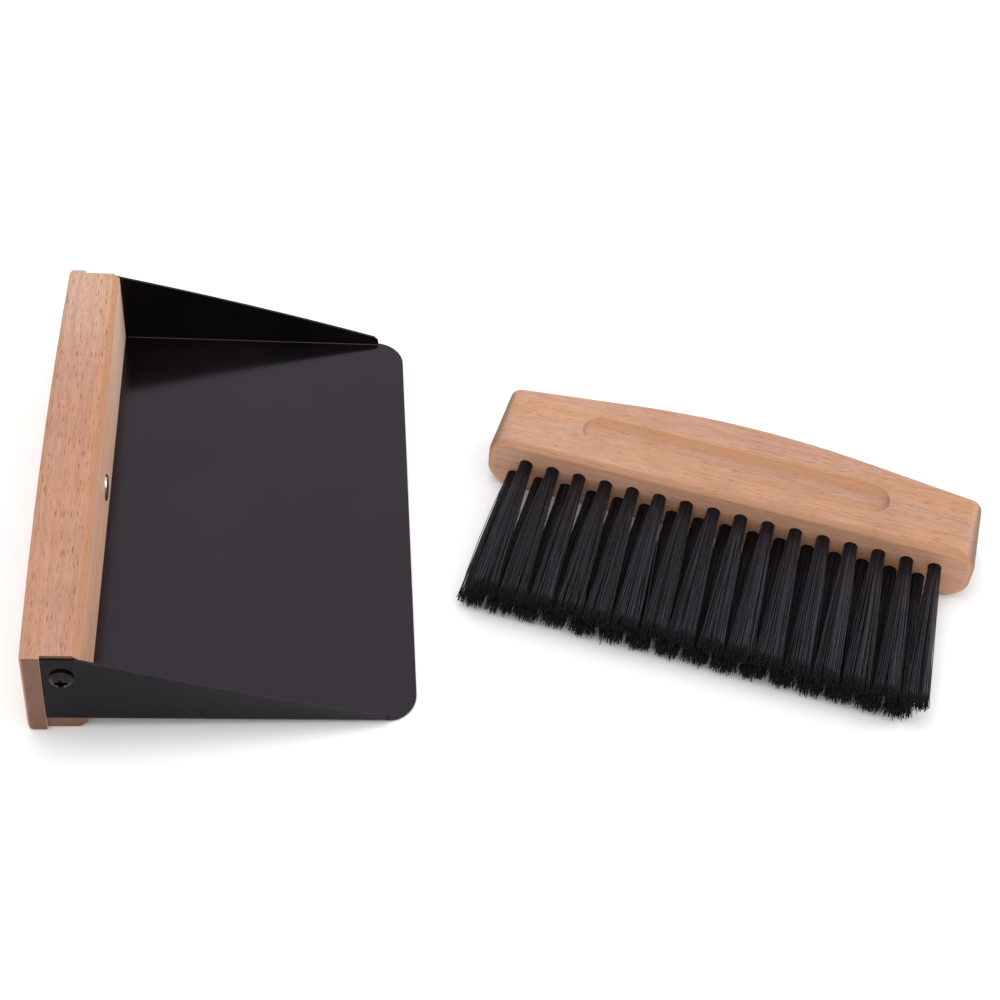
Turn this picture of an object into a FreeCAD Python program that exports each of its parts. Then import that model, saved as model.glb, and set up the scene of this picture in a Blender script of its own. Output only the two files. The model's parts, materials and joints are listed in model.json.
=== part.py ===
import FreeCAD, Part
import Sketcher
import math
import os
import re

# Dust pan and brush set.
#
# The pan is a folded tray of thin sheet steel. Its back is a solid beech bar, which is also the
# handle: the floor of the tray slides into a saw kerf along the bar, the two side walls lap the
# bar's rebated ends, and one screw through each wall holds them. A disc magnet sits in the bar's
# front face and holds the brush by a second magnet in the brush's spine.
#
# The brush is a beech block with an arched spine, a finger groove in its broad face and two
# staggered rows of drilled holes. Each hole holds one tuft of filaments on a flat anchor.
#
# Set frame: X runs from the bar towards the lip, Y along the bar, Z up, with the origin on the
# floor in the middle of the set's footprint. The pan stands as it does on a table, on the lower
# front edge of its bar and on its lip, so it leans forward a little. The brush lies beside the
# pan on its broad back face.
#
# Pan frame: X from the bar's back face to the lip, Y along the bar, Z up from its underside.
# Brush frame: X along the block, Y from the bristle face to the spine, Z through its thickness.

DIMENSIONS = [
    # the beech bar
    ("bar_length", 186.0),
    ("bar_thickness", 20.0),
    ("bar_height", 39.0),
    ("back_bow", 1.4),
    ("front_chamfer", 2.2),
    ("base_chamfer", 2.8),
    ("front_taper", 1.0),
    ("back_round", 2.0),
    ("rebate_start", 6.5),
    ("rebate_depth", 1.3),
    ("kerf_height", 0.9),
    ("kerf_relief", 0.8),
    # the folded sheet tray
    ("sheet", 0.8),
    ("bend_radius", 0.4),
    ("tray_base", 5.1),
    ("tray_front", 130.0),
    ("lip_radius", 11.0),
    ("wall_top", 37.6),
    ("wall_level_end", 17.2),
    ("wall_tip", 120.4),
    ("wall_tip_top", 8.8),
    ("wall_tip_radius", 2.4),
    ("wall_flare", 10.0),
    # the wall screws
    ("screw_from_back", 12.9),
    ("screw_up", 28.2),
    ("screw_hole", 4.4),
    ("screw_head", 8.0),
    ("screw_rim", 0.8),
    ("screw_dome", 2.6),
    ("screw_shank", 2.8),
    ("pilot_clearance", 0.1),
    ("screw_length", 22.0),
    ("screw_point", 3.0),
    ("recess_arm", 2.3),
    ("recess_slot", 1.5),
    ("recess_web", 0.6),
    ("recess_depth", 1.8),
    # the two magnets
    ("magnet_diameter", 10.0),
    ("magnet_thickness", 4.0),
    ("magnet_proud", 0.3),
    ("magnet_bevel", 0.5),
    ("magnet_clearance", 0.1),
    ("dock_height", 17.9),
    # the brush block
    ("block_length", 182.8),
    ("block_thickness", 24.0),
    ("block_end", 29.0),
    ("block_middle", 38.8),
    ("spine_radius", 315.0),
    ("block_corner", 9.0),
    ("spine_corner", 2.6),
    ("end_draft", 1.7),
    ("block_round", 2.6),
    # the finger groove
    ("groove_start", 32.1),
    ("groove_end", 148.1),
    ("groove_up", 16.8),
    ("groove_radius", 10.1),
    ("groove_depth", 3.0),
    # the tufts, their holes and anchors
    ("tuft_pitch", 10.25),
    ("tuft_count", 16.0),
    ("front_row_start", 15.2),
    ("front_row_up", 14.1),
    ("back_row_start", 10.7),
    ("back_row_up", 6.9),
    ("hole_diameter", 5.0),
    ("hole_depth", 12.0),
    ("tuft_root", 4.9),
    ("tuft_reach", 11.0),
    ("bristle_length", 62.5),
    ("tip_width", 9.6),
    ("tip_height", 6.4),
    ("tip_lean_along", 1.5),
    ("tip_lean_down", 2.4),
    ("anchor_thickness", 0.4),
    ("anchor_width", 1.8),
    ("anchor_bite", 0.3),
    ("anchor_gap", 0.2),
    # how far every cutting outline runs past the face it cuts
    ("cut_margin", 2.0),
    # where the two halves stand
    ("pan_place_x", -152.1),
    ("pan_place_y", 2.59),
    ("brush_place_x", -9.57),
    ("brush_place_y", 20.69),
    ("brush_turn", -19.8),
]

document = FreeCAD.newDocument("dust_pan_and_brush_set")
sheet = document.addObject("Spreadsheet::Sheet", "Dimensions")
for row, (alias, value) in enumerate(DIMENSIONS, start=1):
    sheet.set("A%d" % row, alias)
    sheet.set("B%d" % row, str(value))
    sheet.setAlias("B%d" % row, alias)
document.recompute()

X_AXIS = FreeCAD.Vector(1, 0, 0)
Y_AXIS = FreeCAD.Vector(0, 1, 0)
Z_AXIS = FreeCAD.Vector(0, 0, 1)
SLACK = 0.01            # how near a point must be to a plane to count as on it
LEAST_CUT = 0.001       # the least volume that a cut must take away
ALIASES = {alias for alias, value in DIMENSIONS}


def dim(alias):
    """One driving dimension, as a number."""
    return float(sheet.get(alias))


def as_cell(word):
    """One word of an expression, written as a cell of the sheet if it is an alias."""
    return "Dimensions." + word[0] if word[0] in ALIASES else word[0]


def bound(text):
    """The expression text with every alias written as a cell of the sheet."""
    return re.sub("[a-z_]+", as_cell, text)


def value_of(text):
    """The present value of an expression."""
    result = sheet.evalExpression(bound(text))
    return float(getattr(result, "Value", result))


# ---------------------------------------------------------------- bodies, sketches and features

def new_body(label):
    return document.addObject("PartDesign::Body", label)


def new_sketch(body, name, role, offset=None):
    """A sketch on one of the body's origin planes. offset moves it along the plane's normal."""
    sketch = body.newObject("Sketcher::SketchObject", name)
    plane = [feature for feature in body.Origin.OriginFeatures if feature.Role == role][0]
    sketch.AttachmentSupport = [(plane, "")]
    sketch.MapMode = "FlatFace"
    if offset:
        sketch.setExpression("AttachmentOffset.Base.z", bound(offset))
    return sketch


def pin_point(sketch, geometry, end, x_text, y_text):
    """Tie one end of a sketch element to its place, measured from the sketch's origin."""
    for kind, text, axis in (("DistanceX", x_text, -2), ("DistanceY", y_text, -1)):
        value = value_of(text)
        if near(value, 0):
            sketch.addConstraint(Sketcher.Constraint("PointOnObject", geometry, end, axis))
            continue
        number = sketch.addConstraint(Sketcher.Constraint(kind, -1, 1, geometry, end, value))
        sketch.setExpression("Constraints[%d]" % number, bound(text))


def draw_outline(sketch, corners, arcs=None):
    """A closed outline through the corners, which are pairs of expressions.

    arcs gives, for the side that starts at a corner, its radius and whether it runs
    counter-clockwise. Every corner is tied to the sheet, and so is every radius.
    """
    arcs = arcs or {}
    points = [FreeCAD.Vector(value_of(x), value_of(y), 0) for x, y in corners]
    ends = []
    for number, start in enumerate(points):
        finish = points[(number + 1) % len(points)]
        if number not in arcs:
            geometry = sketch.addGeometry(Part.LineSegment(start, finish))
            ends.append((geometry, 1, 2))
            continue
        radius_text, counter_clockwise = arcs[number]
        radius = value_of(radius_text)
        chord = finish - start
        rise = math.sqrt(max(radius ** 2 - (chord.Length / 2) ** 2, 0.0))
        side = FreeCAD.Vector(-chord.y, chord.x, 0).normalize()
        centre = (start + finish) * 0.5 + side * (rise if counter_clockwise else -rise)
        first, last = (start, finish) if counter_clockwise else (finish, start)
        angles = [math.atan2(p.y - centre.y, p.x - centre.x) for p in (first, last)]
        circle = Part.Circle(centre, Z_AXIS, radius)
        geometry = sketch.addGeometry(Part.ArcOfCircle(circle, angles[0], angles[1]))
        ends.append((geometry, 1, 2) if counter_clockwise else (geometry, 2, 1))
    for number, (geometry, start_end, finish_end) in enumerate(ends):
        following, next_start, next_finish = ends[(number + 1) % len(ends)]
        joint = Sketcher.Constraint("Coincident", geometry, finish_end, following, next_start)
        sketch.addConstraint(joint)
    for number, (geometry, start_end, finish_end) in enumerate(ends):
        pin_point(sketch, geometry, start_end, *corners[number])
        if number in arcs:
            radius = value_of(arcs[number][0])
            index = sketch.addConstraint(Sketcher.Constraint("Radius", geometry, radius))
            sketch.setExpression("Constraints[%d]" % index, bound(arcs[number][0]))


def draw_box(sketch, x_low, y_low, x_high, y_high):
    draw_outline(sketch, [(x_low, y_low), (x_high, y_low), (x_high, y_high), (x_low, y_high)])


def draw_circle(sketch, x_text, y_text, diameter_text):
    centre = FreeCAD.Vector(value_of(x_text), value_of(y_text), 0)
    geometry = sketch.addGeometry(Part.Circle(centre, Z_AXIS, value_of(diameter_text) / 2))
    pin_point(sketch, geometry, 3, x_text, y_text)
    size = Sketcher.Constraint("Diameter", geometry, value_of(diameter_text))
    sketch.setExpression("Constraints[%d]" % sketch.addConstraint(size), bound(diameter_text))


def pad(body, sketch, length, reverse=False):
    feature = body.newObject("PartDesign::Pad", sketch.Name + "_pad")
    feature.Profile = sketch
    feature.setExpression("Length", bound(length))
    feature.Reversed = reverse
    sketch.Visibility = False
    document.recompute()
    return feature


def check_cut(body, before, name):
    """Stop if a cut has left the body's volume as it was before."""
    if body.Shape.Volume > before - LEAST_CUT:
        raise RuntimeError(name + " cut nothing")


def pocket(body, sketch, length=None, reverse=False):
    """Cut the sketch out of the body, and check that it did cut. No length cuts both ways."""
    before = body.Shape.Volume
    feature = body.newObject("PartDesign::Pocket", sketch.Name + "_pocket")
    feature.Profile = sketch
    if length:
        feature.setExpression("Length", bound(length))
        feature.Reversed = reverse
    else:
        feature.Type = "ThroughAll"
        feature.SideType = "Symmetric"
    document.recompute()
    check_cut(body, before, feature.Name)
    return feature


def edges_where(shape, test):
    """The names of the edges whose ends and middle all pass the test."""
    names = []
    for number, edge in enumerate(shape.Edges, start=1):
        middle = edge.valueAt((edge.FirstParameter + edge.LastParameter) / 2)
        if all(test(point) for point in [v.Point for v in edge.Vertexes] + [middle]):
            names.append("Edge%d" % number)
    return names


def dress(body, kind, size, test, name):
    """A fillet or chamfer on the edges of the body's present shape that pass the test."""
    base = body.Tip
    names = edges_where(base.Shape, test)
    if not names:
        raise RuntimeError(name + " found no edge")
    feature = body.newObject("PartDesign::" + kind, name)
    feature.Base = (base, names)
    feature.setExpression("Radius" if kind == "Fillet" else "Size", bound(size))
    document.recompute()
    return feature


def near(value, target):
    return abs(value - target) < SLACK


# ---------------------------------------------------------------- where the pan and brush stand

LEAN = math.degrees(math.atan2(dim("tray_base"),
                               dim("tray_front") - dim("bar_thickness") + dim("base_chamfer")))


def pan_placement():
    """The pan leans until its lip meets the floor, turning about the bar's lower front edge."""
    turn = FreeCAD.Placement(FreeCAD.Vector(), FreeCAD.Rotation(Y_AXIS, LEAN))
    edge = FreeCAD.Vector(dim("bar_thickness") - dim("base_chamfer"), 0, 0)
    stand = FreeCAD.Placement(FreeCAD.Vector(dim("pan_place_x"), dim("pan_place_y"), 0),
                              FreeCAD.Rotation())
    return stand * turn * FreeCAD.Placement(-edge, FreeCAD.Rotation())


def brush_placement():
    place = FreeCAD.Vector(dim("brush_place_x"), dim("brush_place_y"), 0)
    return FreeCAD.Placement(place, FreeCAD.Rotation(Z_AXIS, dim("brush_turn")))


# ---------------------------------------------------------------- the pan

def make_handle_bar():
    """Beech bar: bowed back, tapered front, rebated ends, a kerf for the sheet, magnet pocket."""
    body = new_body("handle_bar")
    plan = new_sketch(body, "bar_plan", "XY_Plane")
    half = "bar_length / 2"
    corners = [("bar_thickness", "-" + half), ("bar_thickness", half), ("0", half), ("0", "-" + half)]
    bow_radius = "(bar_length * bar_length / 4 + back_bow * back_bow) / (2 * back_bow)"
    draw_outline(plan, corners, {2: (bow_radius, True)})
    pad(body, plan, "bar_height")

    floor = "bar_length / 2 - rebate_depth"
    rebates = new_sketch(body, "bar_rebates", "XY_Plane")
    beyond = half + " + cut_margin"
    draw_box(rebates, "rebate_start", floor, "bar_thickness + cut_margin", beyond)
    draw_box(rebates, "rebate_start", "-(%s)" % beyond, "bar_thickness + cut_margin", "-(%s)" % floor)
    pocket(body, rebates)

    kerf = new_sketch(body, "bar_kerf", "XZ_Plane")
    kerf_top = "tray_base + kerf_height"
    draw_box(kerf, "rebate_start", "tray_base", "bar_thickness + cut_margin", kerf_top)
    pocket(body, kerf)

    # above the kerf, the front face leans back as it rises
    taper = new_sketch(body, "bar_taper", "XZ_Plane")
    draw_outline(taper, [("bar_thickness", kerf_top), ("bar_thickness + cut_margin", kerf_top),
                         ("bar_thickness + cut_margin", "bar_height"),
                         ("bar_thickness - front_taper", "bar_height")])
    pocket(body, taper)

    front = dim("bar_thickness")
    top = dim("bar_height")
    rebate_floor = dim("bar_length") / 2 - dim("rebate_depth")
    relief_level = dim("tray_base") + dim("kerf_height")
    dress(body, "Chamfer", "kerf_relief",
          lambda p: near(abs(p.y), rebate_floor) and near(p.z, relief_level), "bar_kerf_relief")
    dress(body, "Chamfer", "front_chamfer",
          lambda p: near(p.x, front - dim("front_taper")) and near(p.z, top), "bar_top_chamfer")
    dress(body, "Chamfer", "base_chamfer",
          lambda p: near(p.x, front) and near(p.z, 0), "bar_base_chamfer")

    magnet = new_sketch(body, "bar_magnet", "YZ_Plane", "bar_thickness")
    draw_circle(magnet, "0", "dock_height", "magnet_diameter + magnet_clearance")
    pocket(body, magnet, "magnet_thickness - magnet_proud")

    pilot = new_sketch(body, "bar_pilot", "XZ_Plane", floor)
    draw_circle(pilot, "screw_from_back", "screw_up", "screw_shank + pilot_clearance")
    drilled = pocket(body, pilot, "screw_length - sheet")
    pair = body.newObject("PartDesign::Mirrored", "bar_pilot_pair")
    pair.Originals = [drilled]
    middle = [feature for feature in body.Origin.OriginFeatures if feature.Role == "XZ_Plane"][0]
    pair.MirrorPlane = (middle, [""])
    body.Tip = pair
    document.recompute()

    # every edge behind the rebates is rounded over
    back = dim("rebate_start") - dim("back_round")
    dress(body, "Fillet", "back_round", lambda p: p.x < back, "bar_back_round")
    return body


def draw_tray_section(body, name, place, lean):
    """The folded sheet's section. Its walls lean outwards, and each bend meets its wall smoothly."""
    section = new_sketch(body, name, "YZ_Plane", place)
    bend_y = "bar_length / 2 - rebate_depth - bend_radius"
    bend_z = "tray_base + bend_radius + sheet"
    slope = "tan(%s * 1 deg)" % lean
    side = []
    for radius in ("(bend_radius + sheet)", "bend_radius"):
        end_y = "%s + %s * cos(%s * 1 deg)" % (bend_y, radius, lean)
        end_z = "%s - %s * sin(%s * 1 deg)" % (bend_z, radius, lean)
        top_y = "%s + (wall_top - (%s)) * %s" % (end_y, end_z, slope)
        level = "%s - %s" % (bend_z, radius)
        side.append([(bend_y, level), (end_y, end_z), (top_y, "wall_top")])
    outer, inner = side
    far = outer + inner[::-1]
    near_side = [("-(%s)" % y, z) for y, z in far]
    corners = far + near_side[::-1]
    bends = {0: ("bend_radius + sheet", True), 4: ("bend_radius", False),
             6: ("bend_radius", False), 10: ("bend_radius + sheet", True)}
    draw_outline(section, corners, bends)
    return section


def make_tray():
    """Folded sheet: a flat floor with a radiused lip and two walls that flare as they run forward."""
    body = new_body("pan_tray")
    outer = "bar_length / 2 - rebate_depth + sheet"
    sections = [draw_tray_section(body, "tray_in_bar", "rebate_start", "0"),
                draw_tray_section(body, "tray_at_bar", "bar_thickness", "0"),
                draw_tray_section(body, "tray_at_lip", "tray_front", "wall_flare")]
    folded = body.newObject("PartDesign::AdditiveLoft", "tray_folded")
    folded.Profile = sections[0]
    folded.Sections = sections[1:]
    folded.Ruled = True
    document.recompute()

    # the walls' outline: level over the bar, then straight down to a small rounded tip
    fall = "atan((wall_top - wall_tip_top) / (wall_tip - wall_level_end))"
    trim = "wall_tip_radius * tan((90 deg - %s) / 2)" % fall
    floor_top = "tray_base + sheet"
    profile = new_sketch(body, "tray_profile", "XZ_Plane")
    corners = [
        ("wall_level_end", "wall_top"),
        ("wall_tip - %s * cos(%s)" % (trim, fall), "wall_tip_top + %s * sin(%s)" % (trim, fall)),
        ("wall_tip", "wall_tip_top - " + trim),
        ("wall_tip", floor_top),
        ("tray_front + cut_margin", floor_top),
        ("tray_front + cut_margin", "wall_top + cut_margin"),
        ("wall_level_end", "wall_top + cut_margin"),
    ]
    draw_outline(profile, corners, {1: ("wall_tip_radius", False)})
    pocket(body, profile)

    lip = new_sketch(body, "tray_lip", "XY_Plane")
    for sign, ccw in (("", False), ("-", True)):
        edge = "%s(%s)" % (sign, outer)
        start = "%s(%s - lip_radius)" % (sign, outer)
        beyond = "%s(%s + cut_margin)" % (sign, outer)
        corners = [("tray_front - lip_radius", edge), ("tray_front", start),
                   ("tray_front + cut_margin", start), ("tray_front + cut_margin", beyond),
                   ("tray_front - lip_radius", beyond)]
        draw_outline(lip, corners, {0: ("lip_radius", ccw)})
    pocket(body, lip)

    holes = new_sketch(body, "tray_holes", "XZ_Plane")
    draw_circle(holes, "screw_from_back", "screw_up", "screw_hole")
    pocket(body, holes)
    return body


def make_wall_screw(label):
    """Pan head cross recess wood screw. Its head's underside is at height zero, head upwards."""
    body = new_body(label)
    profile = new_sketch(body, label + "_profile", "XZ_Plane")
    dome = "((screw_head * screw_head / 4) + (screw_dome - screw_rim) * (screw_dome - screw_rim))"
    dome_radius = dome + " / (2 * (screw_dome - screw_rim))"
    corners = [("0", "-screw_length"), ("screw_shank / 2", "-(screw_length - screw_point)"),
               ("screw_shank / 2", "0"), ("screw_head / 2", "0"), ("screw_head / 2", "screw_rim"),
               ("0", "screw_dome")]
    draw_outline(profile, corners, {4: (dome_radius, True)})
    turned = body.newObject("PartDesign::Revolution", label + "_turned")
    turned.Profile = profile
    turned.ReferenceAxis = (profile, ["V_Axis"])
    turned.Angle = 360
    document.recompute()

    recess = new_sketch(body, label + "_recess", "XY_Plane", "screw_dome")
    half = "recess_slot / 2"
    web = "recess_slot / 2 + recess_web"
    corners = []
    quarter = [("recess_arm", "-(%s)" % half), ("recess_arm", half), (web, half), (half, web)]
    for turn in range(4):
        corners += quarter
        quarter = [("-(%s)" % y, x) for x, y in quarter]
    draw_outline(recess, corners)
    pocket(body, recess, "recess_depth")
    return body


def make_magnet(label):
    """Plated disc magnet. Its back is at height zero and its bevelled face looks up."""
    body = new_body(label)
    disc = new_sketch(body, label + "_disc", "XY_Plane")
    draw_circle(disc, "0", "0", "magnet_diameter")
    pad(body, disc, "magnet_thickness")
    top = dim("magnet_thickness")
    dress(body, "Chamfer", "magnet_bevel", lambda p: near(p.z, top), label + "_bevel")
    return body


# ---------------------------------------------------------------- the brush

def draw_end_cut(body, name, place, at_end, draft, radius):
    """What is cut off one end of the block: all outside two rounded corners and a drawn-in face."""
    sketch = new_sketch(body, name, "XZ_Plane", place)
    edge = "block_length - " + draft if at_end else draft
    inset = "%s %s %s" % (edge, "-" if at_end else "+", radius)
    beyond = "block_length + cut_margin" if at_end else "-cut_margin"
    above = "block_thickness + cut_margin"
    corners = [(inset, "0"), (edge, radius), (edge, "block_thickness - " + radius),
               (inset, "block_thickness"), (inset, above), (beyond, above),
               (beyond, "-cut_margin"), (inset, "-cut_margin")]
    draw_outline(sketch, corners, {0: (radius, at_end), 2: (radius, at_end)})
    return sketch


def make_block():
    """Beech block: arched spine, rounded ends, finger groove, drilled rows, magnet pocket."""
    body = new_body("brush_block")
    side = new_sketch(body, "block_side", "XY_Plane")
    # the arched middle half of the spine runs into two straight falls
    quarter = "block_length / 4"
    arch = "block_middle - (spine_radius - sqrt(spine_radius * spine_radius - (%s) * (%s)))" % (
        quarter, quarter)
    corners = [("0", "0"), ("block_length", "0"), ("block_length", "block_end"),
               ("block_length - " + quarter, arch), (quarter, arch), ("0", "block_end")]
    draw_outline(side, corners, {3: ("spine_radius", True)})
    pad(body, side, "block_thickness")

    # the ends are well rounded at the bristle face, and tighter and a little drawn in at the spine
    for label, at_end in (("left", False), ("right", True)):
        face = draw_end_cut(body, label + "_face", None, at_end, "0", "block_corner")
        crown = draw_end_cut(body, label + "_crown", "-block_middle", at_end, "end_draft",
                             "spine_corner")
        before = body.Shape.Volume
        cut = body.newObject("PartDesign::SubtractiveLoft", label + "_end_cut")
        cut.Profile = face
        cut.Sections = [crown]
        cut.Ruled = True
        document.recompute()
        check_cut(body, before, cut.Name)

    # every outer edge is rounded over: the rim of the bristle face, then the rim of the spine
    dress(body, "Fillet", "block_round", lambda p: near(p.y, 0), "block_face_round")
    low = dim("block_end") - SLACK
    dress(body, "Fillet", "block_round", lambda p: p.y > low, "block_spine_round")

    # the groove is a rod with ball ends sunk into the broad face
    groove = new_sketch(body, "block_groove", "XZ_Plane", "-groove_up")
    axis_height = "block_thickness + groove_radius - groove_depth"
    groove.setExpression("AttachmentOffset.Base.y", bound(axis_height))
    half_width = "sqrt(2 * groove_radius * groove_depth - groove_depth * groove_depth)"
    first = "groove_start + " + half_width
    last = "groove_end - " + half_width
    corners = [(first + " - groove_radius", "0"), (first, "-groove_radius"),
               (last, "-groove_radius"), (last + " + groove_radius", "0")]
    draw_outline(groove, corners, {0: ("groove_radius", True), 2: ("groove_radius", True)})
    before = body.Shape.Volume
    cove = body.newObject("PartDesign::Groove", "block_cove")
    cove.Profile = groove
    cove.ReferenceAxis = (groove, ["H_Axis"])
    cove.Angle = 360
    document.recompute()
    check_cut(body, before, cove.Name)

    # two rows of blind holes in the bristle face
    for row in ("front", "back"):
        first_hole = new_sketch(body, row + "_hole", "XZ_Plane")
        draw_circle(first_hole, row + "_row_start", row + "_row_up", "hole_diameter")
        drilled = pocket(body, first_hole, "hole_depth")
        pattern = body.newObject("PartDesign::LinearPattern", row + "_holes")
        pattern.Originals = [drilled]
        pattern.Direction = (first_hole, ["H_Axis"])
        pattern.setExpression("Length", bound("tuft_pitch * (tuft_count - 1)"))
        pattern.setExpression("Occurrences", bound("tuft_count"))
        body.Tip = pattern
        document.recompute()

    seat = new_sketch(body, "block_magnet", "XZ_Plane", "-block_middle")
    draw_circle(seat, "block_length / 2", "block_thickness / 2", "magnet_diameter + magnet_clearance")
    pocket(body, seat, "magnet_thickness", True)
    return body


def make_tuft(label):
    """One tuft: a round root for its hole and a bundle that widens to its trimmed end."""
    body = new_body(label)
    root = new_sketch(body, label + "_root", "XZ_Plane")
    draw_circle(root, "0", "0", "tuft_root")
    pad(body, root, "tuft_reach", True)

    neck = new_sketch(body, label + "_neck", "XZ_Plane")
    draw_circle(neck, "0", "0", "tuft_root")
    tip = new_sketch(body, label + "_tip", "XZ_Plane", "bristle_length")
    centre = FreeCAD.Vector(dim("tip_lean_along"), -dim("tip_lean_down"), 0)
    widest = centre + FreeCAD.Vector(dim("tip_width") / 2, 0, 0)
    tallest = centre + FreeCAD.Vector(0, dim("tip_height") / 2, 0)
    ellipse = tip.addGeometry(Part.Ellipse(widest, tallest, centre))
    tip.exposeInternalGeometry(ellipse)
    pin_point(tip, ellipse, 3, "tip_lean_along", "-tip_lean_down")
    # the ellipse's own two axes follow it as construction lines
    width, height = ellipse + 1, ellipse + 2
    tip.addConstraint(Sketcher.Constraint("Horizontal", width))
    for line, size in ((width, "tip_width"), (height, "tip_height")):
        number = tip.addConstraint(Sketcher.Constraint("Distance", line, dim(size)))
        tip.setExpression("Constraints[%d]" % number, bound(size))
    bundle = body.newObject("PartDesign::AdditiveLoft", label + "_bundle")
    bundle.Profile = neck
    bundle.Sections = [tip]
    document.recompute()
    return body


def make_anchors(label):
    """The flat anchors of one row, one across the bottom of each hole, biting into the wood."""
    long = dim("hole_diameter") + 2 * dim("anchor_bite")
    first = document.addObject("Part::Box", label + "_first")
    first.setExpression("Length", bound("hole_diameter + 2 * anchor_bite"))
    first.setExpression("Width", bound("anchor_thickness"))
    first.setExpression("Height", bound("anchor_width"))
    first.Placement = FreeCAD.Placement(FreeCAD.Vector(-long / 2, 0, -dim("anchor_width") / 2),
                                        FreeCAD.Rotation())
    document.recompute()
    pitch = FreeCAD.Vector(dim("tuft_pitch"), 0, 0)
    copies = [first.Shape.translated(pitch * number) for number in range(int(dim("tuft_count")))]
    row = document.addObject("Part::Feature", label)
    row.Shape = Part.makeCompound(copies)
    return row


# ---------------------------------------------------------------- the assembly

def build_pan(stand):
    """The pan's pieces, each set in the pan frame and then stood on the floor."""
    bar = make_handle_bar()
    tray = make_tray()
    bar.Placement = stand
    tray.Placement = stand
    wall = dim("bar_length") / 2 - dim("rebate_depth") + dim("sheet")
    screws = []
    for side, turn in (("near", 90), ("far", -90)):
        screw = make_wall_screw("wall_screw_" + side)
        place = FreeCAD.Vector(dim("screw_from_back"), -wall if side == "near" else wall,
                               dim("screw_up"))
        screw.Placement = stand * FreeCAD.Placement(place, FreeCAD.Rotation(X_AXIS, turn))
        screws.append(screw)
    magnet = make_magnet("dock_magnet")
    seat = dim("bar_thickness") - dim("magnet_thickness") + dim("magnet_proud")
    place = FreeCAD.Vector(seat, 0, dim("dock_height"))
    magnet.Placement = stand * FreeCAD.Placement(place, FreeCAD.Rotation(Y_AXIS, 90))
    return [bar, tray] + screws + [magnet]


def build_brush(stand):
    """The brush's pieces, each set in the brush frame and then laid on the floor."""
    block = make_block()
    block.Placement = stand
    pieces = [block]
    magnet = make_magnet("brush_magnet")
    seat = dim("block_middle") - dim("magnet_thickness")
    place = FreeCAD.Vector(dim("block_length") / 2, seat, dim("block_thickness") / 2)
    magnet.Placement = stand * FreeCAD.Placement(place, FreeCAD.Rotation(X_AXIS, -90))
    pieces.append(magnet)
    for row in ("front", "back"):
        start = dim(row + "_row_start")
        height = dim(row + "_row_up")
        for number in range(int(dim("tuft_count"))):
            tuft = make_tuft("%s_tuft_%02d" % (row, number + 1))
            place = FreeCAD.Vector(start + number * dim("tuft_pitch"), 0, height)
            tuft.Placement = stand * FreeCAD.Placement(place, FreeCAD.Rotation())
            pieces.append(tuft)
        anchors = make_anchors(row + "_anchors")
        place = FreeCAD.Vector(start, dim("tuft_reach") + dim("anchor_gap"), height)
        anchors.Placement = stand * FreeCAD.Placement(place, FreeCAD.Rotation())
        pieces.append(anchors)
    return pieces


def check_document(pieces):
    """Stop on any failed feature, and on any sub-part with no shape or a faulty one."""
    for item in document.Objects:
        if "Invalid" in item.State or "Error" in item.State:
            raise RuntimeError("%s is %s" % (item.Label, item.State))
    for piece in pieces:
        if piece.Shape.isNull() or not piece.Shape.isValid():
            raise RuntimeError(piece.Label + " has no valid shape")


def write_parts(pieces):
    os.makedirs("parts", exist_ok=True)
    for piece in pieces:
        piece.Shape.exportStep("parts/%s.step" % piece.Label)


def report_sizes(pieces):
    box = FreeCAD.BoundBox()
    for piece in pieces:
        box.add(piece.Shape.optimalBoundingBox(False))
    print("pieces", len(pieces), "lean", round(LEAN, 3), "degrees")
    print("box", [round(v, 2) for v in (box.XMin, box.XMax, box.YMin, box.YMax, box.ZMin, box.ZMax)])
    for piece in pieces:
        print(piece.Label, "%.1f mm3" % piece.Shape.Volume, len(piece.Shape.Solids), "solids")


parts = build_pan(pan_placement()) + build_brush(brush_placement())
document.recompute()
check_document(parts)
write_parts(parts)
report_sizes(parts)
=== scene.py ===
import json
import math

import bpy
import numpy as np
from mathutils import Matrix, Vector


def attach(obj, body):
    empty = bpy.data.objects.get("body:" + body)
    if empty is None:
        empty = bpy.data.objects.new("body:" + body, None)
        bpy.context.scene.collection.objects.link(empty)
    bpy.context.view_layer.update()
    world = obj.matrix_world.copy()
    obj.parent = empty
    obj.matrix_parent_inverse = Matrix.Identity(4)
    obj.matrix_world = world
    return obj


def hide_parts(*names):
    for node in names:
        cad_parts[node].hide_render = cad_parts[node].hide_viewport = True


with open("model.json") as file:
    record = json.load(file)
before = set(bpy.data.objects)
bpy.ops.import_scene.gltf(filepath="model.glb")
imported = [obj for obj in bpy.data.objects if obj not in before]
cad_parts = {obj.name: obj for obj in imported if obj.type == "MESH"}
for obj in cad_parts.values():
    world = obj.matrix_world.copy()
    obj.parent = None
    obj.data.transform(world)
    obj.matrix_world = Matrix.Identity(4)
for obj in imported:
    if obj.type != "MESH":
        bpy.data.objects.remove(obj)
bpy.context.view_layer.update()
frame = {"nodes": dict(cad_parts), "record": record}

# Dust pan and brush set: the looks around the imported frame.
# Lengths named _MM are in millimetres, and all else is in metres, in the frame's own axes.

MM = 0.001

# The view: the camera looks at a point on the floor between the pan and the brush.
AIM_MM = (-4.60, 10.69, 0.0)
DISTANCE_MM = 706.2
AZIMUTH = math.radians(-7.38)
ELEVATION = math.radians(48.13)
ROLL = math.radians(5.0)
LENS = 67.4
SENSOR = 36.0

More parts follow.
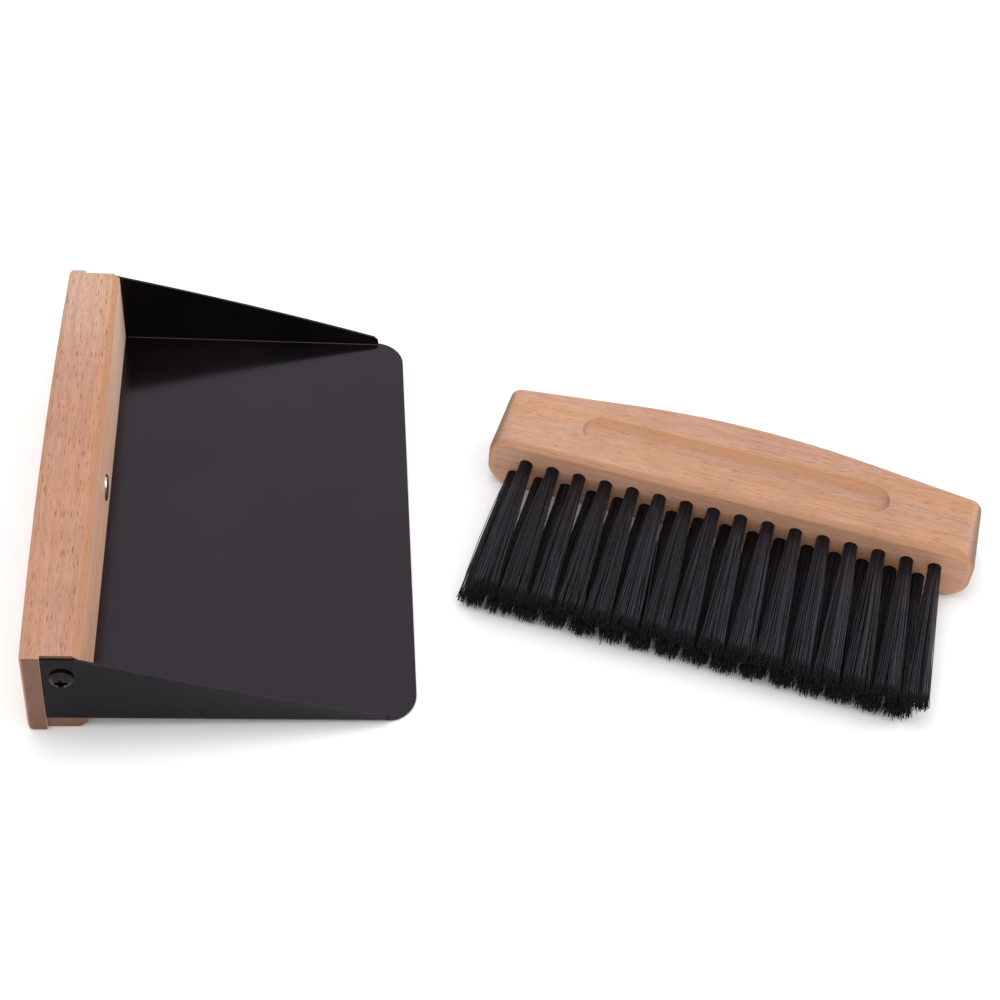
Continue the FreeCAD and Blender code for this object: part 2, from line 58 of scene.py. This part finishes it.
# The filaments of one tuft.
FILAMENTS = 200
FILAMENT_RADIUS_MM = 0.15
FILAMENT_SIDES = 5
TIP_TAPER = 0.7             # a filament's end, as a share of its radius
SUNK_SHARE = 0.35           # how far the filaments reach down the tuft's root
CLUMPS = 11
CLUMP_REACH = 0.85          # how far out the clumps' middles lie, as a share of the tip
CLUMP_PULL = 0.26
TIP_SPREAD = 1.06
STRAY_MM = 0.30             # how far the tips stray at random
STRAY_SHARE = 0.03          # the share of filaments that stray further
STRAY_GAIN = 3.5            # how many times as far those stray
TRIM_MM = 1.0               # how far short of the CAD tuft's end the filaments stop
TRIM_SPREAD_MM = 0.55       # how unevenly one tuft is trimmed
TUFT_SPREAD_MM = 0.25       # how unevenly the tufts are trimmed
END_GAP_MM = 0.1
BOW_MM = 0.35
FRAY_MM = 0.50
EASE = 0.25                 # how much of a filament's drift comes late in its length
STEPS = (0.0, 0.07, 0.28, 0.55, 0.80, 0.94, 1.0)
LOWEST_MM = 1.5 * FILAMENT_RADIUS_MM
ROOT_FROM_MM = 1.0          # the part of a CAD tuft that counts as its root
TIP_SLICE_MM = 0.5          # the part that counts as its tip
GOLDEN_ANGLE = math.pi * (3.0 - math.sqrt(5.0))

# Oiled beech before a board's own tint: the ground, and what lies over it.
PALE_WOOD = (0.545, 0.338, 0.248)
WARM_WOOD = (0.585, 0.330, 0.198)
RIPPLED_WOOD = (0.455, 0.255, 0.170)
STREAKED_WOOD = (0.430, 0.222, 0.130)
LATE_WOOD = (0.380, 0.195, 0.112)
FIBRE = (0.340, 0.175, 0.105)
RAY = (0.285, 0.112, 0.056)
# end grain's colour: partly real, as end grain drinks more oil, and partly painted shade on the board's
# ends
END_GRAIN_AND_SHADE = (0.142, 0.072, 0.041)
# painted light: the orange glow on chamfers and roundings
SLANT_LIGHT_WOOD = (0.690, 0.360, 0.172)
# painted shade on faces that lean inwards, such as the groove's steep slope
INWARD_SHADE_WOOD = (0.390, 0.190, 0.095)
WORN_WOOD = (0.70, 0.47, 0.34)
RING_MM = 3.4
SWAY_MM = 26.0
LONG_RAY_DEPTH_MM = 9.0
SHORT_RAY_DEPTH_MM = 6.0
SHORT_RAY_SHARE = 0.6       # a short ray's room, as a share of a long ray's
FLECK_SWIRL = (0.0, 2.5, 1.0)
END_LIGHT_SHADE_MM = (20.0, 95.0)  # where along the board the painted light and shade on its far end starts and finishes

# The softboxes: name, place, size and power.
SOFTBOXES = (
    ("softbox_key", (-0.30, -0.10, 1.60), 1.2, 6.5),
    ("softbox_back", (-0.25, 0.42, 1.60), 0.6, 2.6),
    ("softbox_side", (1.40, 0.25, 0.70), 1.0, 8.0),
)
SKY_STRENGTH = 0.98
FLOOR_HALF = 3.0


# ---------------------------------------------------------------- the brush's own axes

def mount(name):
    return [m for m in frame["record"]["mounts"] if m["name"] == name][0]


def brush_axes():
    """The brush frame at rest: x along the block, y from the bristle face to the spine, z up."""
    spine = Vector(mount("brush_dock")["axis"]).normalized()
    up = Vector((0, 0, 1))
    along = spine.cross(up).normalized()
    corner = Vector(mount("brush_dock")["pos_m"])
    block = frame["nodes"]["brush_block"].data
    points = np.empty(len(block.vertices) * 3)
    block.vertices.foreach_get("co", points)
    points = points.reshape(-1, 3)
    start = min(points @ np.array(along))
    face = min(points @ np.array(spine))
    origin = along * start + spine * face
    matrix = Matrix((along, spine, up)).transposed().to_4x4()
    matrix.translation = Vector((origin.x, origin.y, min(points[:, 2])))
    return matrix


BRUSH = brush_axes()
BRUSH_TURN = math.atan2(BRUSH[1][0], BRUSH[0][0])


def in_brush_frame(node):
    """The vertices of a CAD node in the brush frame, in millimetres."""
    mesh = frame["nodes"][node].data
    points = np.empty(len(mesh.vertices) * 3)
    mesh.vertices.foreach_get("co", points)
    points = np.c_[points.reshape(-1, 3), np.ones(len(mesh.vertices))]
    return (points @ np.array(BRUSH.inverted()).T)[:, :3] / MM


# ---------------------------------------------------------------- node materials

class Nodes:
    """One material's node tree. Most methods add nodes and return the socket that they give."""

    def __init__(self, name):
        self.material = bpy.data.materials.new(name)
        self.material.use_nodes = True
        self.tree = self.material.node_tree
        self.surface = self.tree.nodes["Principled BSDF"]

    def put(self, socket, value):
        """Link a socket to another, or give it a plain value."""
        if isinstance(value, bpy.types.NodeSocket):
            self.tree.links.new(value, socket)
        else:
            socket.default_value = value

    def add(self, kind, sockets=None, **settings):
        node = self.tree.nodes.new("ShaderNode" + kind)
        for name, value in settings.items():
            setattr(node, name, value)
        for name, value in (sockets or {}).items():
            self.put(node.inputs[name], value)
        return node

    def coordinates(self, turn=(0, 0, 0), stretch=(1, 1, 1), shift=(0, 0, 0)):
        """The point's own place in millimetres, turned, then stretched and shifted."""
        place = self.add("TexCoord").outputs["Object"]
        turned = self.add("Mapping", {"Vector": place, "Rotation": turn, "Scale": (1 / MM,) * 3})
        fitted = self.add("Mapping", {"Vector": turned.outputs[0], "Scale": stretch,
                                      "Location": shift})
        return fitted.outputs[0]

    def math(self, operation, first, second=0.0, clamp=False):
        node = self.add("Math", operation=operation, use_clamp=clamp)
        self.put(node.inputs[0], first)
        self.put(node.inputs[1], second)
        return node.outputs[0]

    def noise(self, vector, scale, detail=2.0, roughness=0.5):
        return self.add("TexNoise", {"Vector": vector, "Scale": scale, "Detail": detail,
                                     "Roughness": roughness}).outputs[0]

    def spread(self, value, low, high, to_low=0.0, to_high=1.0):
        """value, with low to high mapped smoothly onto to_low to to_high."""
        return self.add("MapRange", {"Value": value, "From Min": low, "From Max": high,
                                     "To Min": to_low, "To Max": to_high},
                        interpolation_type="SMOOTHSTEP").outputs[0]

    def mix(self, factor, first, second, blend="MIX"):
        node = self.add("Mix", data_type="RGBA", blend_type=blend)
        self.put(node.inputs[0], factor)
        self.put(node.inputs[6], first)
        self.put(node.inputs[7], second)
        return node.outputs[2]

    def coat(self, base, color, mask, strength):
        """base, with color laid over it where the mask is 1, at the given strength."""
        return self.mix(self.math("MULTIPLY", mask, strength), base, color)

    def normal_parts(self, turn=(0, 0, 0)):
        """The parts of the surface's own normal along three axes, after a turn."""
        normal = self.add("TexCoord").outputs["Normal"]
        turned = self.add("Mapping", {"Vector": normal, "Rotation": turn})
        return self.add("SeparateXYZ", {"Vector": turned.outputs[0]}).outputs

    def bump(self, height, distance_mm, strength):
        sockets = {"Height": height, "Distance": distance_mm * MM, "Strength": strength}
        return self.add("Bump", sockets).outputs[0]

    def edges(self, radius_mm):
        """1 on sharp edges and 0 on flats."""
        rounded = self.add("Bevel", {"Radius": radius_mm * MM}, samples=6).outputs[0]
        flat = self.add("NewGeometry").outputs["Normal"]
        turn = self.add("VectorMath", operation="DOT_PRODUCT")
        self.put(turn.inputs[0], rounded)
        self.put(turn.inputs[1], flat)
        return self.spread(self.math("SUBTRACT", 1.0, turn.outputs["Value"]), 0.02, 0.25)

    def finish(self, **sockets):
        for name, value in sockets.items():
            self.put(self.surface.inputs[name.replace("_", " ")], value)
        return self.material


def flecks(n, turn, shift, cell_mm, width, keep_share):
    """1 on beech's short dark rays. cell_mm is the room that each has along, across and deep."""
    cells = n.coordinates(turn, [1 / size for size in cell_mm], shift)
    swirl = n.noise(n.coordinates(turn, (0.05, 0.16, 0.16), shift), 1.0, 2.0)
    bent = n.add("VectorMath", {"Scale": n.math("SUBTRACT", swirl, 0.5)}, operation="SCALE")
    bent.inputs[0].default_value = FLECK_SWIRL
    place = n.add("VectorMath", operation="ADD")
    n.put(place.inputs[0], cells)
    n.put(place.inputs[1], bent.outputs[0])
    ray = n.add("TexVoronoi", {"Vector": place.outputs[0], "Scale": 1.0, "Randomness": 1.0})
    chance = n.add("SeparateXYZ", {"Vector": ray.outputs["Color"]}).outputs
    size = n.math("MULTIPLY", n.spread(chance[1], 0.0, 1.0, 0.5, 1.0), width)
    inside = n.spread(n.math("DIVIDE", ray.outputs["Distance"], size), 1.0, 0.35)
    return n.math("MULTIPLY", inside, n.spread(chance[0], 1.0 - keep_share, 1.0, 0.25, 1.0))


def growth_rings(n, turn, pith_mm, shift):
    """1 on late wood. The rings run round the pith, and sway a little along the board."""
    place = n.add("SeparateXYZ", {"Vector": n.coordinates(turn)}).outputs
    wander = n.noise(n.coordinates(turn, (0.012, 0.04, 0.04), shift), 1.0, 3.0)
    sway = n.math("MULTIPLY", n.math("SUBTRACT", wander, 0.5), SWAY_MM)
    across = n.math("ADD", n.math("SUBTRACT", place[1], pith_mm[0]), sway)
    depth = n.math("SUBTRACT", place[2], pith_mm[1])
    squares = n.math("ADD", n.math("POWER", across, 2.0), n.math("POWER", depth, 2.0))
    ring = n.math("FRACT", n.math("DIVIDE", n.math("SQRT", squares), RING_MM))
    return n.math("MULTIPLY", n.spread(ring, 0.35, 0.96), n.spread(ring, 1.0, 0.96))


def beech(name, turn, pith_mm, seed, tint, inner_light_gain, far_end_light_shade, ray_mm, ray_strength):
    """Sanded and oiled beech. turn lays the grain along x, and pith_mm is the tree's centre.

    The inner-face gain is painted light on the board's inner face, and the far-end gain is painted light
    on the bar's far end and painted shade on the block's.
    ray_mm is the room that each dark ray has, along and across the grain.
    """
    n = Nodes(name)
    shift = (seed * 37.0, seed * 11.0, seed * 23.0)

    def tone(color):
        return [part * gain for part, gain in zip(color, tint)] + [1]

    # which faces are end grain, which run along the rays, and which slant or lean inwards; the slanting,
    # inward-leaning and inner faces get painted light and shade below
    faces = n.normal_parts(turn)
    end_on = n.spread(n.math("ABSOLUTE", faces[0]), 0.42, 0.86)
    sideways = n.math("ABSOLUTE", faces[1])
    side_on = n.spread(sideways, 0.72, 1.0)
    not_side_on = n.math("SUBTRACT", 1.0, side_on)
    slant_light = n.math("MULTIPLY", n.spread(sideways, 0.40, 0.66), not_side_on)
    inward_shade = n.math("MULTIPLY", n.spread(faces[1], -0.10, -0.50), not_side_on)
    inner_face_light = n.spread(faces[1], -0.72, -1.0)

    # fibres, slow changes of tone, and two sizes of the short dark rays
    hair = n.noise(n.coordinates(turn, (0.15, 2.6, 2.6), shift), 1.0, 3.0, 0.6)
    streak = n.noise(n.coordinates(turn, (0.022, 0.75, 0.75), shift), 1.0, 3.0, 0.6)
    band = n.noise(n.coordinates(turn, (0.006, 0.14, 0.14), shift), 1.0, 2.0)
    ripple = n.noise(n.coordinates(turn, (0.060, 0.03, 0.03), shift), 1.0, 3.0, 0.55)
    long_cell = (*ray_mm, LONG_RAY_DEPTH_MM)
    short_cell = (ray_mm[0] * SHORT_RAY_SHARE, ray_mm[1] * SHORT_RAY_SHARE, SHORT_RAY_DEPTH_MM)
    long_rays = flecks(n, turn, shift, long_cell, 0.49, 0.90)
    short_rays = flecks(n, turn, (shift[1], shift[2], shift[0]), short_cell, 0.42, 0.80)
    rays = n.math("ADD", n.math("MULTIPLY", long_rays, ray_strength),
                  n.math("MULTIPLY", short_rays, ray_strength * 0.7), clamp=True)
    rays = n.math("MULTIPLY", rays, n.math("SUBTRACT", 1.0, n.math("MULTIPLY", side_on, 0.9)))

    base = n.mix(n.spread(band, 0.35, 0.65), tone(PALE_WOOD), tone(WARM_WOOD))
    base = n.coat(base, tone(RIPPLED_WOOD), n.spread(ripple, 0.46, 0.72), 0.38)
    base = n.coat(base, tone(STREAKED_WOOD), n.spread(streak, 0.38, 0.75), 0.48)
    base = n.coat(base, tone(LATE_WOOD), growth_rings(n, turn, pith_mm, shift), 0.22)
    base = n.coat(base, tone(FIBRE), n.spread(hair, 0.40, 0.74), 0.46)
    base = n.mix(rays, base, tone(RAY))

    # the far end, the end grain and the slanting, inward and inner faces get painted light and shade,
    # end grain also drinks more oil, and the handled edges are paler
    along = n.add("SeparateXYZ", {"Vector": n.coordinates(turn)}).outputs[0]
    # painted light on the bar's far end and painted shade on the block's far end
    base = n.mix(n.spread(along, *END_LIGHT_SHADE_MM), base, (*far_end_light_shade, 1), "MULTIPLY")
    # darker end grain: partly the oil it drinks, and partly painted shade on the ends and their
    # roundings
    base = n.coat(base, tone(END_GRAIN_AND_SHADE), end_on, 0.85)
    # painted light: an orange glow on faces that slant, such as chamfers and roundings
    base = n.coat(base, tone(SLANT_LIGHT_WOOD), slant_light, 0.42)
    # painted shade on faces that lean inwards, such as the groove's steep slope and the chamfer
    base = n.coat(base, tone(INWARD_SHADE_WOOD), inward_shade, 0.42)
    # painted light: the bar's inner face and the block's bristle face are made brighter
    base = n.mix(inner_face_light, base, (*inner_light_gain, 1), "MULTIPLY")
    base = n.coat(base, tone(WORN_WOOD), n.edges(0.7), 0.12)

    pores = n.math("SUBTRACT", n.math("MULTIPLY", hair, 0.6), n.math("MULTIPLY", rays, 0.9))
    rough = n.math("ADD", n.spread(hair, 0.2, 0.8, 0.42, 0.54), n.math("MULTIPLY", rays, 0.12))
    return n.finish(Base_Color=base, Roughness=rough, Normal=n.bump(pores, 0.05, 0.55),
                    Specular_IOR_Level=0.35)


def powder_coat():
    """Black powder coat: a fine pebbled skin, a little rubbed along the sheet's edges."""
    n = Nodes("black_powder_coat")
    pebble = n.noise(n.coordinates(), 2.6, 3.0, 0.55)
    peel = n.noise(n.coordinates(), 0.7, 2.0)
    smudge = n.noise(n.coordinates(), 0.022, 3.0, 0.6)
    worn = n.math("MULTIPLY", n.edges(0.5), n.spread(peel, 0.35, 0.6))
    base = n.mix(n.spread(smudge, 0.3, 0.7), (0.0026, 0.0020, 0.0026, 1), (0.0050, 0.0040, 0.0050, 1))
    base = n.coat(base, (0.040, 0.036, 0.037, 1), worn, 0.5)
    rough = n.math("ADD", n.spread(smudge, 0.25, 0.75, 0.135, 0.165),
                   n.math("MULTIPLY", n.math("SUBTRACT", pebble, 0.5), 0.06))
    skin = n.math("ADD", pebble, n.math("MULTIPLY", peel, 0.6))
    # the walls are duller than the floor: painted shade for the darker surroundings that they reflect
    wall_shade_gloss = n.spread(n.math("ABSOLUTE", n.normal_parts()[1]), 0.5, 0.9, 0.44, 0.10)
    return n.finish(Base_Color=base, Roughness=rough, Normal=n.bump(skin, 0.010, 0.30),
                    Specular_IOR_Level=wall_shade_gloss, Specular_Tint=(1.0, 0.84, 1.0, 1.0))


def metal(name, color, edge_wear_and_glint, roughness, grain, stretch=(1, 1, 1)):
    """Plated or blackened metal with fine scratches and brighter edges, partly wear and partly a painted
    highlight.
    """
    n = Nodes(name)
    fine = n.noise(n.coordinates(stretch=stretch), grain, 4.0, 0.6)
    cloud = n.noise(n.coordinates(), 0.5, 2.0)
    base = n.mix(n.spread(cloud, 0.3, 0.7), color, [c * 0.82 for c in color[:3]] + [1])
    # brighter edges: partly wear and partly a painted highlight where the rims catch light
    base = n.coat(base, edge_wear_and_glint, n.edges(0.25), 0.6)
    rough = n.spread(fine, 0.25, 0.75, roughness * 0.8, roughness * 1.3)
    return n.finish(Base_Color=base, Metallic=1.0, Roughness=rough, Normal=n.bump(fine, 0.01, 0.5))


def nylon():
    """Black nylon filament: a sheen that differs between filaments, and split, matt ends."""
    n = Nodes("black_nylon")
    strand = n.add("Attribute", attribute_name="strand").outputs["Fac"]
    along = n.add("Attribute", attribute_name="along").outputs["Fac"]
    frayed = n.spread(along, 0.925, 0.965)
    grain = n.noise(n.coordinates((0, 0, -BRUSH_TURN), (3.0, 0.06, 3.0)), 1.0, 2.0)
    base = n.mix(n.spread(strand, 0.55, 1.0), (0.0026, 0.0022, 0.0036, 1), (0.0195, 0.0170, 0.0235, 1))
    base = n.mix(frayed, base, (0.0022, 0.0020, 0.0024, 1))
    rough = n.math("ADD", n.spread(grain, 0.3, 0.7, 0.26, 0.38), n.math("MULTIPLY", frayed, 0.55))
    return n.finish(Base_Color=base, Roughness=rough, Normal=n.bump(grain, 0.02, 0.3),
                    Specular_IOR_Level=0.38, Specular_Tint=(1.0, 0.90, 1.0, 1.0))


def floor_material():
    """A plain pale floor with a faint tooth."""
    n = Nodes("pale_floor")
    tooth = n.noise(n.coordinates(), 0.8, 2.0)
    base = n.mix(tooth, (0.90, 0.90, 0.90, 1), (0.94, 0.94, 0.94, 1))
    return n.finish(Base_Color=base, Roughness=0.75, Normal=n.bump(tooth, 0.01, 0.2))


def dress_node(node, material):
    """Give a CAD node its finished material."""
    mesh_object = frame["nodes"][node]
    mesh_object.data.materials.clear()
    mesh_object.data.materials.append(material)


# ---------------------------------------------------------------- the tufts

def centre_and_half(points):
    """The middle and the half sizes, along the block and upwards, of the points' box."""
    low = points[:, [0, 2]].min(axis=0)
    high = points[:, [0, 2]].max(axis=0)
    return (low + high) / 2, (high - low) / 2


def tuft_shape(node):
    """A tuft's root and tip, each as a centre and its half sizes, from its CAD solid, in mm."""
    points = in_brush_frame(node)
    end = points[:, 1].min()
    root_points = points[points[:, 1] > ROOT_FROM_MM]
    root, root_half = centre_and_half(root_points)
    tip, tip_half = centre_and_half(points[points[:, 1] < end + TIP_SLICE_MM])
    return {"root": root, "radius": root_half[0], "depth": root_points[:, 1].max(),
            "tip": tip, "half": tip_half, "length": -end}


def filament_lines(shape, rng):
    """The middle line of every filament of a tuft: (filament, step, xyz) in the brush frame, mm."""
    number = np.arange(FILAMENTS)
    reach = np.sqrt((number + 0.5) / FILAMENTS)
    angle = number * GOLDEN_ANGLE
    spot = np.c_[reach * np.cos(angle), reach * np.sin(angle)]
    start = shape["root"] + spot * (shape["radius"] - FILAMENT_RADIUS_MM)

    # the tips gather a little into clumps and stray a little at random
    loose = rng.normal(0.0, STRAY_MM, (FILAMENTS, 2))
    loose[rng.random(FILAMENTS) < STRAY_SHARE] *= STRAY_GAIN
    centres = rng.uniform(-CLUMP_REACH, CLUMP_REACH, (CLUMPS, 2))
    nearest = np.argmin(((spot[:, None] - centres[None]) ** 2).sum(axis=2), axis=1)
    gathered = spot + (centres[nearest] - spot) * CLUMP_PULL
    finish = shape["tip"] + gathered * shape["half"] * TIP_SPREAD + loose
    uneven = rng.normal(0.0, TRIM_SPREAD_MM, FILAMENTS)
    length = shape["length"] - TRIM_MM + uneven + rng.normal(0.0, TUFT_SPREAD_MM)
    length = np.minimum(length, shape["length"] - END_GAP_MM)

    # the last stretch is split and bent at random, which closes the gaps between the clumps
    bow = rng.normal(0.0, BOW_MM, (FILAMENTS, 2))
    fray = rng.normal(0.0, FRAY_MM, (FILAMENTS, 2))
    lines = np.empty((FILAMENTS, len(STEPS) + 1, 3))
    lines[:, 0, [0, 2]] = start
    lines[:, 0, 1] = shape["depth"] * SUNK_SHARE
    for index, step in enumerate(STEPS, start=1):
        drift = (1.0 - EASE) * step + EASE * step ** 2
        spread = start + (finish - start) * drift + bow * math.sin(math.pi * step)
        spread += fray * (step == 1.0)
        lines[:, index, 0] = spread[:, 0]
        lines[:, index, 1] = -length * step
        lines[:, index, 2] = np.maximum(spread[:, 1], LOWEST_MM)
    return lines


def tuft_mesh(name, lines, rng):
    """Closed thin tubes along the lines, as one mesh in the set's own axes."""
    count, rings, sides = lines.shape[0], lines.shape[1], FILAMENT_SIDES
    spin = rng.uniform(0.0, 2.0 * math.pi, (count, 1, 1))
    angle = np.arange(sides)[None, None, :] * (2.0 * math.pi / sides) + spin
    radius = np.full((1, rings, 1), FILAMENT_RADIUS_MM)
    radius[0, -1, 0] *= TIP_TAPER
    points = np.repeat(lines[:, :, None, :], sides, axis=2)
    points[..., 0] += radius * np.cos(angle)
    points[..., 2] += radius * np.sin(angle)
    points = points.reshape(-1, 3) * MM
    points = np.c_[points, np.ones(len(points))] @ np.array(BRUSH).T

    faces = []
    for filament in range(count):
        base = filament * rings * sides
        for ring in range(rings - 1):
            low = base + ring * sides
            for side in range(sides):
                after = (side + 1) % sides
                faces.append((low + side, low + sides + side, low + sides + after, low + after))
        faces.append(tuple(base + side for side in range(sides)))
        top = base + (rings - 1) * sides
        faces.append(tuple(top + side for side in reversed(range(sides))))
    mesh = bpy.data.meshes.new(name)
    mesh.from_pydata(points[:, :3].tolist(), [], faces)
    mesh.polygons.foreach_set("use_smooth", [True] * len(mesh.polygons))
    shade = mesh.attributes.new("strand", "FLOAT", "POINT")
    shade.data.foreach_set("value", np.repeat(rng.random(count), rings * sides))
    reach = lines[:, :, 1] / lines[:, -1:, 1]
    travel = mesh.attributes.new("along", "FLOAT", "POINT")
    travel.data.foreach_set("value", np.repeat(reach.ravel(), sides))
    mesh.update()
    return mesh


def make_tufts(material):
    tufts = sorted(node for node in frame["nodes"] if "_tuft_" in node)
    for seed, node in enumerate(tufts, start=1):
        rng = np.random.default_rng(seed)
        mesh = tuft_mesh(node + "_filaments", filament_lines(tuft_shape(node), rng), rng)
        mesh.materials.append(material)
        piece = bpy.data.objects.new(node + "_filaments", mesh)
        bpy.context.scene.collection.objects.link(piece)
        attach(piece, "brush")
        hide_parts(node)


# ---------------------------------------------------------------- camera, lights and floor

def place_camera():
    back = Vector((math.sin(AZIMUTH) * math.cos(ELEVATION),
                   -math.cos(AZIMUTH) * math.cos(ELEVATION), math.sin(ELEVATION)))
    level = Vector((0, 0, 1)).cross(back).normalized()
    upright = back.cross(level)
    right = level * math.cos(ROLL) + upright * math.sin(ROLL)
    up = back.cross(right)
    camera = bpy.data.objects.new("camera", bpy.data.cameras.new("camera"))
    camera.data.lens = LENS
    camera.data.sensor_width = SENSOR
    camera.data.clip_start = 0.01
    camera.data.clip_end = 20.0
    matrix = Matrix((right, up, back)).transposed().to_4x4()
    matrix.translation = Vector(AIM_MM) * MM + back * DISTANCE_MM * MM
    camera.matrix_world = matrix
    bpy.context.scene.collection.objects.link(camera)
    bpy.context.scene.camera = camera


def add_softbox(name, place, size, power):
    """A square area light that faces the middle of the set."""
    light = bpy.data.lights.new(name, "AREA")
    light.shape = "SQUARE"
    light.size = size
    light.energy = power
    lamp = bpy.data.objects.new(name, light)
    lamp.location = place
    lamp.rotation_euler = (-Vector(place)).to_track_quat("-Z", "Y").to_euler()
    bpy.context.scene.collection.objects.link(lamp)


def light_scene():
    world = bpy.data.worlds.new("studio")
    world.use_nodes = True
    sky = world.node_tree.nodes["Background"]
    sky.inputs["Color"].default_value = (1.0, 1.0, 1.0, 1.0)
    sky.inputs["Strength"].default_value = SKY_STRENGTH
    bpy.context.scene.world = world
    for name, place, size, power in SOFTBOXES:
        add_softbox(name, place, size, power)
    bpy.context.scene.view_settings.view_transform = "Standard"


def lay_floor():
    mesh = bpy.data.meshes.new("floor")
    corners = [(x * FLOOR_HALF, y * FLOOR_HALF, 0) for x, y in ((-1, -1), (1, -1), (1, 1), (-1, 1))]
    mesh.from_pydata(corners, [], [(0, 1, 2, 3)])
    mesh.materials.append(floor_material())
    floor = bpy.data.objects.new("floor", mesh)
    bpy.context.scene.collection.objects.link(floor)


# ---------------------------------------------------------------- the set

bar_beech = beech("beech_bar", turn=(0, 0, -math.pi / 2), pith_mm=(28.0, -62.0), seed=1,
                  tint=(0.83, 0.715, 0.70), inner_light_gain=(1.70, 2.00, 2.15),
                  far_end_light_shade=(1.16, 1.42, 1.58), ray_mm=(5.6, 0.60), ray_strength=1.0)
block_beech = beech("beech_block", turn=(0, 0, -BRUSH_TURN), pith_mm=(-30.0, -75.0), seed=2,
                    tint=(0.91, 0.85, 0.82), inner_light_gain=(1.28, 1.30, 1.34),
                    far_end_light_shade=(0.93, 0.91, 0.90), ray_mm=(5.4, 0.56), ray_strength=0.72)
black_steel = metal("blackened_steel", (0.030, 0.0265, 0.025, 1), (0.22, 0.19, 0.18, 1), 0.30, 6.0)
nickel = metal("nickel_plate", (0.70, 0.67, 0.62, 1), (0.86, 0.84, 0.80, 1), 0.16, 9.0)
anchor_steel = metal("drawn_steel", (0.50, 0.49, 0.47, 1), (0.62, 0.61, 0.59, 1), 0.35, 5.0, (0.2, 2, 2))

dress_node("handle_bar", bar_beech)
dress_node("brush_block", block_beech)
dress_node("pan_tray", powder_coat())
for screw in ("wall_screw_near", "wall_screw_far"):
    dress_node(screw, black_steel)
for magnet in ("dock_magnet", "brush_magnet"):
    dress_node(magnet, nickel)
for anchors in ("front_anchors", "back_anchors"):
    dress_node(anchors, anchor_steel)
make_tufts(nylon())

lay_floor()
light_scene()
place_camera()
